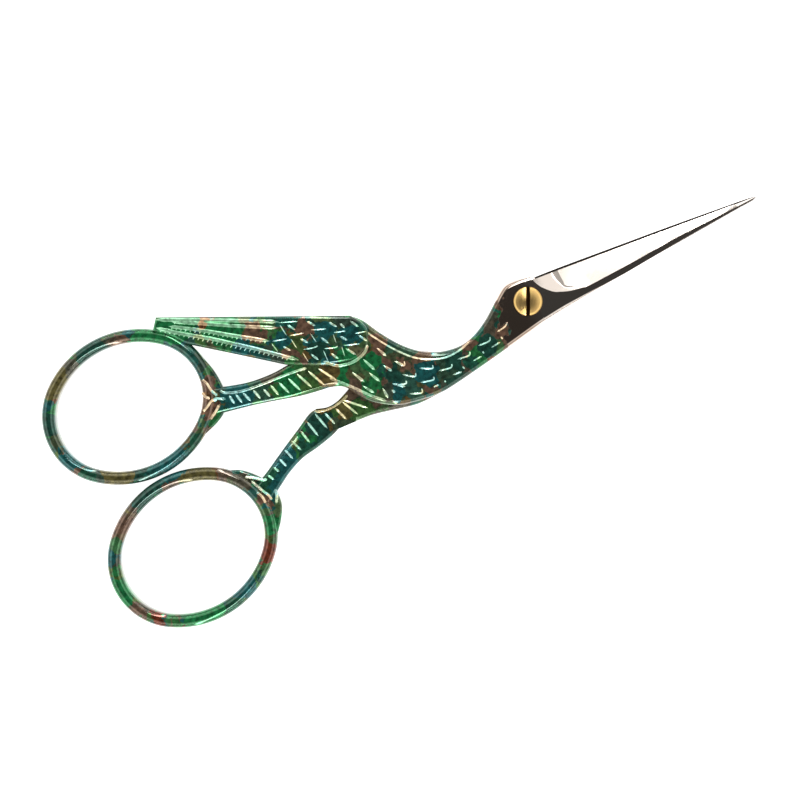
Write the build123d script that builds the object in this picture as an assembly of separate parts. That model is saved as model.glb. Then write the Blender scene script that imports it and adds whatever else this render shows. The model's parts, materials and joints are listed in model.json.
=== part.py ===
from build123d import *

import os
from math import atan2, cos, degrees, hypot, radians, sin, tan

# Stork embroidery scissors, closed and lying flat, in millimetres.
# The pieces are built round the pivot: +X runs to the tip, +Y to the stork's back, +Z up, and
# the two halves meet at z = 0. At the end everything is moved so that the origin is the middle
# of the underside.

# Whole tool
half_thickness = 1.45      # one half at the head
blade_length = 32.1        # pivot to tip
blade_width = 4.9          # one blade at its heel
trunk_length = 28.0        # pivot to the stork's rump
trunk_depth = 5.57         # pivot axis down to the belly
ring_centre_reach = 51.5   # pivot to the line through both ring centres

# Finger rings
ring_inner_length = 18.9
ring_inner_width = 16.1
ring_wire = 1.62           # wire of the ring, seen from above
ring_chamfer = 0.45        # flat along each edge of the wire
rings_parting = 0.72       # pivot axis down to the place where the rings face each other
rings_gap = 0.24           # space left between the closed rings
front_ring_tilt = 1.3
back_ring_tilt = 10.9

# Trunk and wing
shoulder = 0.6             # rounding of the trunk's outer rim
wing_rise = 0.3            # wing above the trunk's face
wing_shoulder = 0.45
wing_embed = 0.3           # wing sunk into the ring that it is joined to
wing_tip_rise = 1.75       # blunt tip of the wing beyond the ring's outer edge
feather_groove = 0.45      # width of a groove between two flight feathers
feather_grooves = 4

# Legs
strut_width = 3.4          # front leg where it leaves the rump
shank_width = 3.6          # back leg at the knee
leg_height = 2.3           # either leg where it meets its ring
leg_chamfer = 0.35         # flat along a leg's long edges
leg_clearance = 0.03       # a leg inside the faces of its half, where it leaves the trunk
rib_pitch = 0.95
rib_groove = 0.45          # width of a groove between two ribs
rib_rail = 0.4             # smooth rail left beside the ribs
strut_rib_slant = 18.0
shank_rib_slant = -7.0

# Collars where the legs meet the rings
collar_rise = 1.2          # collar beyond the ring's outer edge
collar_height = 2.1
collar_corner = 0.35

# Blades
edge_thickness = 0.12      # land left at the cutting edge
bevel_angle = 24.0
wheel_radius = 5.2         # grinding wheel that leaves the crescent at the heel
wheel_overlap = 0.15       # how far the wheel cuts past the bevel's ridge

# Pivot screw
shank_radius = 1.1
shank_clearance = 0.04     # the front half turns on the shank
head_radius = 1.85
head_height = 0.8
head_clearance = 0.12
head_corner = 0.12
head_play = 0.02           # under the head, so that the front half turns
counterbore_depth = 0.45
slot_width = 0.5
slot_depth = 0.4
slot_angle = 65.3
screw_end_recess = 0.15    # screw end inside the back half's outer face

overrun = 1.0              # how far every cutter runs past what it cuts

# Outlines of the trunk, as shares of its length and depth. Behind the pivot is negative.
crown_shares = [(0.075, 0.44), (0.03, 0.505), (-0.015, 0.54), (-0.06, 0.50), (-0.10, 0.385),
                (-0.20, 0.01), (-0.28, -0.23), (-0.363, -0.295), (-0.456, -0.205), (-0.537, 0.005)]
back_shares = [(-0.61, 0.30), (-0.672, 0.72), (-0.722, 1.16), (-0.763, 1.37)]
throat_shares = [(0.075, -0.565), (0.01, -0.60), (-0.207, -0.78), (-0.42, -0.94), (-0.528, -1.0)]
belly_shares = [(-0.628, -0.995), (-0.722, -0.925), (-0.783, -0.765), (-0.839, -0.56),
                (-0.877, -0.32), (-0.906, -0.085), (-0.94, 0.045), (-1.0, 0.13)]
rump_shares = [(-1.01, 0.70)]
hip_shares = [(-0.64, 0.24), (-0.75, 0.20), (-0.86, 0.0), (-0.93, -0.16), (-0.98, -0.255),
              (-1.03, -0.275), (-1.08, -0.20)]
thigh_shares = [(-0.634, -1.055), (-0.706, -1.03), (-0.774, -0.94), (-0.864, -0.83),
                (-0.96, -0.795), (-1.065, -0.83)]

# Wing: its front edge and its root on the trunk, then its tip as angles round the front ring.
wing_front_shares = [(-1.013, 0.73), (-0.925, 0.557), (-0.825, 0.44), (-0.757, 0.548),
                     (-0.725, 0.736), (-0.7125, 0.97), (-0.725, 1.185)]
wing_root_shares = [(-1.118, 0.995)]
wing_tip_angles = (53, 44, 35, 26)
feather_end_shares = [(-0.97, 1.95), (-1.07, 1.05)]

# Legs: share of the run, then each side as a share of the width, then the share of the joggle
# that brings the leg from its own half to the middle of the ring.
strut_start_shares = (-0.98, 0.40)
strut_sides_shares = [(0.0, 0.60, -0.48, 0.0), (0.14, 0.68, -0.46, 0.0), (0.26, 0.64, -0.44, 0.05),
                      (0.42, 0.49, -0.38, 0.3), (0.62, 0.44, -0.32, 0.65), (0.82, 0.56, -0.29, 0.95),
                      (1.0, 0.70, -0.29, 1.0)]
strut_end_angle = -31
shank_start_shares = (-1.02, -0.48)
shank_sides_shares = [(0.0, 0.36, -0.36, 0.0), (0.11, 0.63, -0.37, 0.0), (0.30, 0.56, -0.25, 0.1),
                      (0.47, 0.49, -0.17, 0.4), (0.64, 0.41, -0.17, 0.7), (0.79, 0.335, -0.28, 0.95),
                      (1.0, 0.30, -0.45, 1.0)]
shank_end_angle = 3
strut_ribbed_shares = (0.03, 0.84)
shank_ribbed_shares = (-0.2, 0.86)

# Collars: angle round the ring, then the share of the collar's rise.
strut_collar_shares = [(9, 0.0), (-2, 0.25), (-12, 0.55), (-22, 0.9), (-32, 0.9), (-40, 0.55),
                       (-50, 0.0)]
shank_collar_shares = [(33, 0.0), (25, 0.4), (13, 0.75), (1, 1.0), (-10, 0.95), (-20, 0.5),
                       (-31, 0.0)]

# Blades: the spine and the cutting edge as shares of length and width, the taper towards the tip
# as shares of length and thickness, and where the grinding wheel stopped.
front_spine_shares = [(0.03, -0.665), (0.17, -0.547), (0.40, -0.36), (0.63, -0.225), (0.86, -0.095),
                      (1.0, 0.0)]
front_edge_shares = [(0.03, 0.46), (0.17, 0.41), (0.93, 0.012)]
back_spine_shares = [(0.03, -0.50), (0.17, -0.452), (0.40, -0.325), (0.63, -0.205), (0.86, -0.085),
                     (1.0, 0.0)]
back_edge_shares = [(0.03, 0.53), (0.17, 0.50), (0.93, 0.04)]
taper_shares = [(0.0, 1.0), (0.22, 1.0), (0.53, 0.72), (0.88, 0.28), (1.0, 0.17)]
wheel_share = 0.214

ring_a = (ring_inner_length + ring_wire) / 2
ring_b = (ring_inner_width + ring_wire) / 2
ring_height = 2 * half_thickness


def ring_half_extent(tilt):
    """Half of a tilted ring's outer size along Y."""
    outer_a = ring_a + ring_wire / 2
    outer_b = ring_b + ring_wire / 2
    return hypot(outer_a * sin(radians(tilt)), outer_b * cos(radians(tilt)))


front_ring_y = ring_half_extent(front_ring_tilt) - rings_parting + rings_gap / 2
back_ring_y = -ring_half_extent(back_ring_tilt) - rings_parting - rings_gap / 2
front_ring_at = Location((-ring_centre_reach, front_ring_y, 0), (0, 0, front_ring_tilt))
back_ring_at = Location((-ring_centre_reach, back_ring_y, 0), (0, 0, back_ring_tilt))


def trunk_points(shares):
    """Shares of the trunk's length and depth, as points."""
    return [Vector(x * trunk_length, y * trunk_depth) for x, y in shares]


def blade_points(shares):
    """Shares of a blade's length and width, as points."""
    return [Vector(x * blade_length, y * blade_width) for x, y in shares]


def ring_point(ring_at, angle, outward=0):
    """A point at an angle round a ring, a distance outside the middle of its wire."""
    along = (ring_a + outward) * cos(radians(angle))
    aside = (ring_b + outward) * sin(radians(angle))
    return (ring_at * Pos(along, aside, 0)).position


def ring(ring_at):
    """A finger ring: one oval wire, turned in four arcs that run into each other."""
    chord = hypot(ring_a, ring_b)
    middle = (chord - (ring_a - ring_b)) / 2
    end_radius = middle * chord / ring_a
    side_radius = ring_b + (ring_a * ring_a - middle * chord) / ring_b
    reach = ring_a - end_radius
    drop = side_radius - ring_b
    half_end = degrees(atan2(drop, reach))
    section = Plane.XZ * chamfer(Rectangle(ring_wire, ring_height).vertices(), ring_chamfer)
    end = revolve(Pos(end_radius, 0) * section, Axis.Z, 2 * half_end)
    side = revolve(Pos(side_radius, 0) * section, Axis.Z, 180 - 2 * half_end)
    half = Pos(reach, 0) * Rot(0, 0, -half_end) * end + Pos(0, -drop) * Rot(0, 0, half_end) * side
    return ring_at * (half + Rot(0, 0, 180) * half)


def plate(upper, lower, rest, height, rim):
    """A plate between two curves and the lines that close them, with both curves' top rims rounded."""
    solid = extrude(make_face((Curve() + [upper, lower, *rest]).edges()), height)
    top = solid.faces().sort_by(Axis.Z)[-1]
    return fillet(top.edges().filter_by(GeomType.BSPLINE), rim)


def front_trunk():
    """Head, neck and body of the front half."""
    upper = Spline(trunk_points(crown_shares + back_shares))
    lower = Spline(trunk_points(throat_shares + belly_shares))
    rump = Polyline(upper @ 1, *trunk_points(rump_shares), lower @ 1)
    return plate(upper, lower, [rump, Line(upper @ 0, lower @ 0)], half_thickness, shoulder)


def back_trunk():
    """Head, neck and thigh of the back half, face down under the front half."""
    upper = Spline(trunk_points(crown_shares + hip_shares))
    lower = Spline(trunk_points(throat_shares + thigh_shares))
    ends = [Line(upper @ 1, lower @ 1), Line(upper @ 0, lower @ 0)]
    return mirror(plate(upper, lower, ends, half_thickness, shoulder), Plane.XY)


def wing():
    """The folded wing, joined to the front ring at its tip."""
    front = Spline(trunk_points(wing_front_shares))
    tip = [ring_point(front_ring_at, angle, ring_wire / 2 - wing_embed) for angle in wing_tip_angles]
    tip_top = ring_point(front_ring_at, wing_tip_angles[0], ring_wire / 2 + wing_tip_rise)
    back = trunk_points(back_shares)[-1]
    rest = Polyline(front @ 1, back, tip_top, *tip, *trunk_points(wing_root_shares), front @ 0)
    solid = extrude(make_face((Curve() + [front, rest]).edges()), half_thickness + wing_rise)
    top = solid.faces().sort_by(Axis.Z)[-1]
    return fillet(top.edges(), wing_shoulder)


def groove(start, end, width):
    """A V-shaped cutter along the line from start to end."""
    run = end - start
    section = Plane(start, x_dir=run.cross(Vector(0, 0, 1)), z_dir=run) * RegularPolygon(width / 2, 4)
    return extrude(section, run.length)


def feather_cutters():
    """Grooves between the flight feathers, closing in towards the wing's tip."""
    face = Vector(0, 0, half_thickness + wing_rise)
    tip_top = ring_point(front_ring_at, wing_tip_angles[0], ring_wire / 2 + wing_tip_rise)
    tip_root = ring_point(front_ring_at, wing_tip_angles[1], ring_wire / 2)
    back, root = trunk_points(feather_end_shares)
    cutters = []
    for count in range(1, feather_grooves + 1):
        share = count / (feather_grooves + 1)
        start = tip_top + (tip_root - tip_top) * share
        end = back + (root - back) * share
        cutters.append(groove(start + face, end + face, feather_groove))
    return cutters


def leg_frame(start_shares, end):
    """A leg's start, its run to the ring, and the direction across it."""
    start = trunk_points([start_shares])[0]
    run = end - start
    return start, run, run.cross(Vector(0, 0, 1)).normalized()


def leg_at(sides_shares, share):
    """Both sides and the joggle of a leg, part of the way along it."""
    share = max(share, sides_shares[0][0])
    for first, last in zip(sides_shares, sides_shares[1:]):
        if share <= last[0]:
            part = (share - first[0]) / (last[0] - first[0])
            return [a + (b - a) * part for a, b in zip(first[1:], last[1:])]


def leg_section(frame, width, side, share, upper, lower, joggle):
    """The middle and the height of a leg, part of the way along it."""
    start, run, across = frame
    root_height = half_thickness - 2 * leg_clearance
    height = root_height + joggle * (leg_height - root_height)
    lift = Vector(0, 0, side * (1 - joggle) * half_thickness / 2)
    return start + run * share + across * ((upper + lower) / 2 * width) + lift, height


def leg(frame, width, side, sides_shares):
    """A leg that leaves the trunk in its own half and joggles to the middle of its ring."""
    start, run, across = frame
    sections = []
    for share, upper, lower, joggle in sides_shares:
        middle, height = leg_section(frame, width, side, share, upper, lower, joggle)
        section = Rectangle((upper - lower) * width, height)
        section = chamfer(section.vertices(), leg_chamfer)
        sections.append(Plane(middle, x_dir=across, z_dir=run) * section)
    return loft(sections)


def rib_cutters(frame, width, side, sides_shares, ribbed_shares, slant, facing):
    """Grooves across one face of a leg, which leave its ribs and a smooth rail."""
    run, across = frame[1:]
    first, last = (share * run.length for share in ribbed_shares)
    lean = across + run.normalized() * tan(radians(slant))
    cutters = []
    for number in range(int((last - first) / rib_pitch) + 1):
        share = (first + number * rib_pitch) / run.length
        upper, lower, joggle = leg_at(sides_shares, share)
        middle, height = leg_section(frame, width, side, share, upper, lower, joggle)
        face = middle + Vector(0, 0, facing * height / 2)
        reach = (upper - lower) / 2 * width
        start, end = face + lean * (reach - rib_rail), face - lean * (reach + overrun)
        cutters.append(groove(start, end, rib_groove))
    return cutters


def collar(ring_at, shares):
    """A leaf-shaped collar along the outside of a ring."""
    edge = ring_wire / 2
    rim = Spline([ring_point(ring_at, angle, edge + share * collar_rise) for angle, share in shares])
    inside = [ring_point(ring_at, angle) for angle, share in reversed(shares)]
    face = make_face((Curve() + [rim, Polyline(rim @ 1, *inside, rim @ 0)]).edges())
    leaf = extrude(face, collar_height / 2, both=True)
    ends = leaf.faces().filter_by(Axis.Z).edges().filter_by(GeomType.BSPLINE)
    return fillet(ends, collar_corner)


def blade(spine_shares, edge_shares):
    """A blade with its flat inner face at z = 0 and its cutting edge towards +Y."""
    spine = Spline(blade_points(spine_shares))
    edge = Polyline(spine @ 1, *reversed(blade_points(edge_shares)), spine @ 0)
    plan = extrude(make_face((Curve() + [spine, edge]).edges()), half_thickness)
    tops = [(x * blade_length, z * half_thickness) for x, z in taper_shares]
    side = Plane.XZ * make_face(Polyline((0, 0), *tops, (blade_length, 0), (0, 0)).edges())
    return (plan & extrude(side, blade_width, both=True)) - bevel_cutter(edge_shares)


def bevel_cutter(edge_shares):
    """What the grinding wheel takes off above the bevel, up to the crescent at the heel."""
    heel, tip = blade_points(edge_shares)[-2:]
    land = Vector(0, 0, edge_thickness)
    bevel = Plane(heel + land, x_dir=tip - heel, z_dir=(0, 0, 1)).rotated((-bevel_angle, 0, 0))
    ridge = (half_thickness - edge_thickness) / sin(radians(bevel_angle))
    aside = wheel_radius - ridge - wheel_overlap
    along = wheel_share * blade_length - heel.X
    reach = blade_length - heel.X + overrun
    wheel = Pos(along, aside) * Circle(wheel_radius)
    stroke = Pos((along + reach) / 2, aside) * Rectangle(reach - along, 2 * wheel_radius)
    return extrude(bevel * (wheel + stroke), half_thickness + overrun)


def pivot_screw():
    """Slotted brass screw: it turns in the front half and is tight in the back half."""
    seat = half_thickness - counterbore_depth + head_play
    end = -half_thickness + screw_end_recess
    head = Pos(0, 0, seat + head_height / 2) * Cylinder(head_radius, head_height)
    head = chamfer(head.edges().sort_by(Axis.Z)[-1], head_corner)
    shank = Pos(0, 0, (seat + end) / 2) * Cylinder(shank_radius, seat - end)
    slot = Box(2 * (head_radius + overrun), slot_width, 2 * slot_depth)
    return head + shank - Pos(0, 0, seat + head_height) * Rot(0, 0, slot_angle) * slot


def front_half():
    """Upper ring, strut, wing, body, head and the blade that shows, in one forging."""
    frame = leg_frame(strut_start_shares, ring_point(front_ring_at, strut_end_angle))
    strut = leg(frame, strut_width, 1, strut_sides_shares)
    solid = front_trunk() + wing() + strut + ring(front_ring_at)
    solid += collar(front_ring_at, strut_collar_shares)
    solid += blade(front_spine_shares, front_edge_shares)
    ribs = [frame, strut_width, 1, strut_sides_shares, strut_ribbed_shares, strut_rib_slant]
    solid -= feather_cutters() + rib_cutters(*ribs, 1) + rib_cutters(*ribs, -1)
    solid -= Cylinder(shank_radius + shank_clearance, 2 * (half_thickness + overrun))
    counterbore = Cylinder(head_radius + head_clearance, 2 * counterbore_depth)
    return solid - Pos(0, 0, half_thickness) * counterbore


def back_half():
    """Lower ring, ribbed leg, thigh, head and the blade behind, in one forging."""
    frame = leg_frame(shank_start_shares, ring_point(back_ring_at, shank_end_angle))
    solid = back_trunk() + leg(frame, shank_width, -1, shank_sides_shares) + ring(back_ring_at)
    solid += collar(back_ring_at, shank_collar_shares)
    solid += Rot(180, 0, 0) * blade(back_spine_shares, back_edge_shares)
    ribs = [frame, shank_width, -1, shank_sides_shares, shank_ribbed_shares, shank_rib_slant]
    solid -= rib_cutters(*ribs, 1) + rib_cutters(*ribs, -1)
    return solid - Cylinder(shank_radius, 2 * (half_thickness + overrun))


pieces = {
    "front_half": front_half(),
    "back_half": back_half(),
    "pivot_screw": pivot_screw(),
}
box = Compound(list(pieces.values())).bounding_box()
origin = Vector(-box.center().X, -box.center().Y, -box.min.Z)
os.makedirs("parts", exist_ok=True)
for name, piece in pieces.items():
    piece = Pos(origin) * piece
    piece.label = name
    export_step(piece, f"parts/{name}.step")
print("pivot", origin, "size", box.size)
print("front ring", Pos(origin) * front_ring_at, "back ring", Pos(origin) * back_ring_at)
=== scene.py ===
# %% [markdown]
# Stork embroidery scissors, closed and lying flat, seen from straight above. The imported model
# gives the frame: the two forged halves and the screw, at their real size, with the hinge
# between them. Every piece made here is laid over that frame, in metres, and rides on the half
# that it belongs to.

import json
import math

import bmesh
import bpy
from mathutils import Matrix, Vector
from mathutils.geometry import interpolate_bezier


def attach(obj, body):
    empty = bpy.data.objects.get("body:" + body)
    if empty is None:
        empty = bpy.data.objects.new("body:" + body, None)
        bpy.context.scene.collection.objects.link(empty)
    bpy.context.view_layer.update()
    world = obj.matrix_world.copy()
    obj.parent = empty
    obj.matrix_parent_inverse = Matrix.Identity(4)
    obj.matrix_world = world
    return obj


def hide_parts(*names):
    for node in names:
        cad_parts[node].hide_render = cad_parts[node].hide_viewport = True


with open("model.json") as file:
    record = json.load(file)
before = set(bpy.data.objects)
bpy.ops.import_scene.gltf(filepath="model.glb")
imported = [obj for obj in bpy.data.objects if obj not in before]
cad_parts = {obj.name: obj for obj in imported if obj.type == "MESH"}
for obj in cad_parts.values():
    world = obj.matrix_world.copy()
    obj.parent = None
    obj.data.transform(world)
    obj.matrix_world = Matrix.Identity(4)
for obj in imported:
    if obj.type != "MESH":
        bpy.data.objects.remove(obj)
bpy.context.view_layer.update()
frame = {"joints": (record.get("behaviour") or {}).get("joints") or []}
MM = 0.001
PIVOT = Vector(frame["joints"][0]["pos_m"])
print("pivot at", [round(x / MM, 3) for x in PIVOT], "mm")

# %% [markdown]
# The pieces are drawn in millimetres round the pivot: x runs to the tip of the blades, y to the
# stork's back, and z = 0 is where the two halves meet. The photograph is 800 pixels wide and
# shows 102.2 mm. The scissors lie across it, turned by 24.7 degrees. `spot` turns a pixel of the
# photograph into such a place, which is how the feathers find their seats on the forging.

# %% Places on the photograph
PIXEL = 0.1277
TURN = math.radians(24.7)
PIVOT_PIXEL = (527, 302)
FRAME_MIDDLE = (400, 400)


def spot(column, row, z=0.0):
    """The place under a pixel of the photograph."""
    right = (column - PIVOT_PIXEL[0]) * PIXEL
    up = (PIVOT_PIXEL[1] - row) * PIXEL
    along = right * math.cos(TURN) + up * math.sin(TURN)
    return Vector((along, up * math.cos(TURN) - right * math.sin(TURN), z))


print("middle of the picture", [round(v, 2) for v in spot(*FRAME_MIDDLE)])

# %% [markdown]
# The camera hangs over the middle of the picture and looks straight down. A 70 mm lens at about
# 20 cm shows the inner walls of the far rings a little, as the photograph does. The camera is
# rolled, so that the blades rise to the right.

# %% Camera
LENS = 70.0
SENSOR = 36.0
PICTURE_WIDTH = 2 * FRAME_MIDDLE[0] * PIXEL
CAMERA_HEIGHT = PICTURE_WIDTH * LENS / SENSOR


def place_camera():
    camera = bpy.data.objects.new("camera", bpy.data.cameras.new("camera"))
    camera.data.lens = LENS
    camera.data.sensor_width = SENSOR
    camera.data.clip_start = 0.01
    camera.location = PIVOT + (spot(*FRAME_MIDDLE) + Vector((0, 0, CAMERA_HEIGHT))) * MM
    camera.rotation_euler = (0, 0, -TURN)
    bpy.context.scene.collection.objects.link(camera)
    bpy.context.scene.camera = camera


place_camera()
print("camera", round(CAMERA_HEIGHT, 1), "mm above the blades")

# %% [markdown]
# The light is a small product table: white paper under the tool and a white tent round it, with a
# dark opening for the camera and a grey skirt near the table. Four long strip lamps hang in it,
# a rising one and a level one over the upper and the lower edge of the picture. Polished steel
# shows what it faces, so the flat faces mirror the dark opening, the bevels mirror the tent and
# the strips, and the rings carry the lines of the strips. The paper is seen as white by the
# camera and by the metal, and still takes the tool's shadow.

# %% Colours and nodes
def linear(code):
    """The linear colour of a hex code."""
    shares = [int(code[i:i + 2], 16) / 255 for i in (0, 2, 4)]
    return (*[s / 12.92 if s <= 0.04045 else ((s + 0.055) / 1.055) ** 2.4 for s in shares], 1.0)


def add_node(owner, kind, inputs=None, **settings):
    """Adds a node. An input is a value, or the socket that feeds it."""
    node = owner.node_tree.nodes.new("ShaderNode" + kind)
    for name, value in settings.items():
        setattr(node, name, value)
    for key, value in (inputs or {}).items():
        if isinstance(value, bpy.types.NodeSocket):
            owner.node_tree.links.new(value, node.inputs[key])
        else:
            node.inputs[key].default_value = value
    return node


def new_material(name):
    material = bpy.data.materials.new(name)
    material.use_nodes = True
    material.node_tree.nodes.clear()
    return material


def set_surface(material, shader):
    add_node(material, "OutputMaterial", {"Surface": shader.outputs[0]})
    return material


# %% Paper and backdrop
PAPER_SIZE = 3.0
PAPER = "e8e8e8"
PAPER_WHITE = "fdfdfd"
PAPER_GLOW = 0.97


def seen_directly(owner):
    """1 for what the camera or a mirror sees, 0 for light that bounces on."""
    path = add_node(owner, "LightPath")
    return add_node(owner, "Math", {0: path.outputs["Is Camera Ray"], 1: path.outputs["Is Glossy Ray"]},
                    operation="MAXIMUM").outputs[0]


def lay_paper():
    bm = bmesh.new()
    bmesh.ops.create_grid(bm, x_segments=1, y_segments=1, size=PAPER_SIZE / 2)
    mesh = bpy.data.meshes.new("paper")
    bm.to_mesh(mesh)
    bm.free()
    paper = bpy.data.objects.new("paper", mesh)
    bpy.context.scene.collection.objects.link(paper)
    material = new_material("white_paper")
    matte = add_node(material, "BsdfDiffuse", {"Color": linear(PAPER)})
    glow = add_node(material, "Emission", {"Color": linear(PAPER_WHITE), "Strength": PAPER_GLOW})
    both = add_node(material, "AddShader", {0: matte.outputs[0], 1: glow.outputs[0]})
    seen = seen_directly(material)
    shader = add_node(material, "MixShader", {0: seen, 1: matte.outputs[0], 2: both.outputs[0]})
    mesh.materials.append(set_surface(material, shader))
    return paper


print("paper", [round(side, 2) for side in lay_paper().dimensions], "m")

# %% Tent and strip lamps
bpy.context.scene.view_settings.view_transform = "Standard"
TENT = 1.2
TENT_WHITE = "fffcf8"
SKIRT = 0.45                   # share of the tent's level, near the table
OPENING = 0.05
SKIRT_EDGE = (0.42, 0.62)      # sine of the height over the table, where the skirt turns into the tent
OPENING_EDGE = (0.80, 0.94)    # and the tent into the opening
STRIP_REACH, STRIP_LENGTH = 0.40, 0.60
RISING_STRIP = {"lean": 52, "width": 0.03, "watts": 0.52, "upward": "X"}
LEVEL_STRIP = {"lean": 58, "width": 0.015, "watts": 0.16, "upward": "Y"}


def raise_the_tent():
    world = bpy.data.worlds.new("tent")
    bpy.context.scene.world = world
    world.use_nodes = True
    world.node_tree.nodes.clear()
    way = add_node(world, "TexCoord").outputs["Generated"]
    up = add_node(world, "SeparateXYZ", {0: way}).outputs["Z"]
    above = add_node(world, "MapRange", {0: up, 1: OPENING_EDGE[0], 2: OPENING_EDGE[1], 3: TENT, 4: OPENING},
                     interpolation_type="SMOOTHSTEP").outputs[0]
    below = add_node(world, "MapRange", {0: up, 1: SKIRT_EDGE[0], 2: SKIRT_EDGE[1], 3: SKIRT, 4: 1.0},
                     interpolation_type="SMOOTHSTEP").outputs[0]
    level = add_node(world, "Math", {0: above, 1: below}, operation="MULTIPLY")
    shade = add_node(world, "Background", {"Color": linear(TENT_WHITE), "Strength": level.outputs[0]})
    white = add_node(world, "Background", {"Color": (1, 1, 1, 1), "Strength": 1.0})
    camera_ray = add_node(world, "LightPath").outputs["Is Camera Ray"]
    mixed = add_node(world, "MixShader", {0: camera_ray, 1: shade.outputs[0], 2: white.outputs[0]})
    add_node(world, "OutputWorld", {"Surface": mixed.outputs[0]})


def hang_strip(name, side, lean, width, watts, upward):
    """A strip lamp over the upper (side 1) or lower (side -1) edge of the picture, facing the tool.

    `upward` is the side of the lamp that rises towards the camera: "X" the long one, "Y" the short one.
    """
    lamp = bpy.data.lights.new(name, "AREA")
    lamp.shape = "RECTANGLE"
    lamp.size, lamp.size_y = STRIP_LENGTH, width
    lamp.energy = watts
    holder = bpy.data.objects.new(name, lamp)
    aim = PIVOT + spot(*FRAME_MIDDLE) * MM
    picture_up = Vector((math.sin(TURN), math.cos(TURN), 0)) * side
    way = picture_up * math.sin(math.radians(lean)) + Vector((0, 0, math.cos(math.radians(lean))))
    holder.location = aim + way * STRIP_REACH
    holder.rotation_euler = (-way).to_track_quat("-Z", upward).to_euler()
    holder.visible_camera = False
    bpy.context.scene.collection.objects.link(holder)
    return holder


raise_the_tent()
for place, side in (("upper", 1), ("lower", -1)):
    hang_strip(place + "_rising_strip", side, **RISING_STRIP)
    hang_strip(place + "_level_strip", side, **LEVEL_STRIP)
print("lamps:", [lamp.name for lamp in bpy.data.lights])

# %% [markdown]
# The halves are forged steel with a marbled plating: patches of dark green, teal, olive and
# brown, each a few millimetres wide, like the tints that heat leaves on steel. Over it lies a
# thin clear glaze, which gives the white lines of light. Where feathers and ribs stand up, the
# plating is painted a pale, bright version of the same patches: a painted highlight, for the light
# that the ridges catch. The plating ends at the head: the blades are bare, polished steel, and the
# head has a faint heat tint as far as the screw.

# %% Tints of the metals
STEEL = "e0d7cf"
HEAD_STEEL = "bca898"
BRASS = "f6ce84"
# Painted shade: the brass of the slot's floor, nearly black for the shade in the slot.
SLOT_SHADE = "24160a"
TEAL, GREEN, DARK, BROWN, OLIVE, RUST = 0.17, 0.44, 0.76, 0.58, 0.90, 1.0
TINTS = [("22583e", 0.0), ("1c5c5c", TEAL), ("4a602c", 0.34), ("1c7844", GREEN), ("705646", BROWN),
         ("1c4c40", DARK), ("625c34", OLIVE), ("6c3420", RUST)]
# Painted highlight: pale tints of the same patches, for the light that the ridges catch.
HIGHLIGHT_TINTS = [("98dcb4", 0.0), ("a4d8d4", TEAL), ("d8e0a8", 0.34), ("a4e4b8", GREEN), ("ecd0ac", BROWN),
              ("9cd0c0", DARK), ("e8dca8", OLIVE), ("e4b08c", RUST)]

# %% Patches that stand out in the photograph
# Each is a pixel, a radius in pixels and a tint.
PLACED_PATCHES = [
    ((180, 325), 20, GREEN), ((225, 328), 18, GREEN), ((256, 333), 12, BROWN), ((283, 340), 10, TEAL),
    ((305, 330), 9, BROWN), ((325, 330), 11, TEAL), ((350, 335), 13, TEAL), ((318, 350), 10, DARK),
    ((345, 356), 10, GREEN), ((378, 343), 9, BROWN), ((372, 362), 10, GREEN), ((392, 376), 10, DARK),
    ((398, 392), 8, TEAL), ((407, 364), 8, BROWN), ((427, 374), 12, TEAL), ((430, 394), 7, BROWN),
    ((455, 360), 10, DARK), ((470, 344), 8, BROWN), ((487, 347), 10, DARK), ((505, 325), 9, DARK),
    ((504, 308), 9, BROWN), ((512, 323), 6, DARK), ((500, 334), 7, BROWN),
    ((240, 396), 16, TEAL), ((290, 385), 14, GREEN), ((206, 386), 9, BROWN),
    ((318, 425), 12, DARK), ((342, 407), 10, OLIVE), ((285, 462), 14, TEAL), ((267, 500), 8, BROWN),
    ((50, 380), 20, OLIVE), ((50, 425), 12, DARK), ((92, 350), 16, DARK), ((150, 335), 20, GREEN),
    ((75, 458), 14, TEAL), ((120, 478), 14, OLIVE), ((175, 462), 18, TEAL), ((210, 410), 12, BROWN),
    ((145, 490), 16, DARK), ((123, 525), 12, BROWN), ((112, 555), 12, TEAL), ((125, 590), 14, GREEN),
    ((158, 619), 9, RUST), ((205, 615), 20, GREEN), ((245, 585), 12, TEAL), ((268, 553), 12, RUST),
    ((272, 522), 10, GREEN), ((200, 474), 16, OLIVE)]
print(len(PLACED_PATCHES), "placed patches")

# %% Marbled plating
PATCH = 2.4                    # millimetres across, as all sizes here
PLATING_END = (-4.0, -3.88)    # along the tool, from the pivot
HEAT_TINT_END = (-1.5, 2.0)
CELL_PUSH = {"scale": 0.45, "strength": 5.0}
PATCH_PUSH = {"scale": 0.6, "strength": 4.0}
BORDER_PUSH = {"scale": 0.35, "strength": 6.0}
CLOUD_SCALE, CLOUD_DETAIL = 1.8, 5.0
CLOUD_RANGE = {1: 0.3, 2: 0.7, 3: 0.5, 4: 1.8}
MIDDLE_GREY = (0.5, 0.5, 0.5)
STEEL_ROUGHNESS, GLAZE_ROUGHNESS = 0.10, 0.04


def place_in_mm(material):
    """The place on the piece, in millimetres from the pivot."""
    metres = add_node(material, "TexCoord").outputs["Object"]
    origin, per_mm = (-PIVOT.x / MM, -PIVOT.y / MM, 0), (1 / MM, 1 / MM, 1 / MM)
    return add_node(material, "Mapping", {"Vector": metres, "Location": origin, "Scale": per_mm}).outputs[0]


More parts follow.
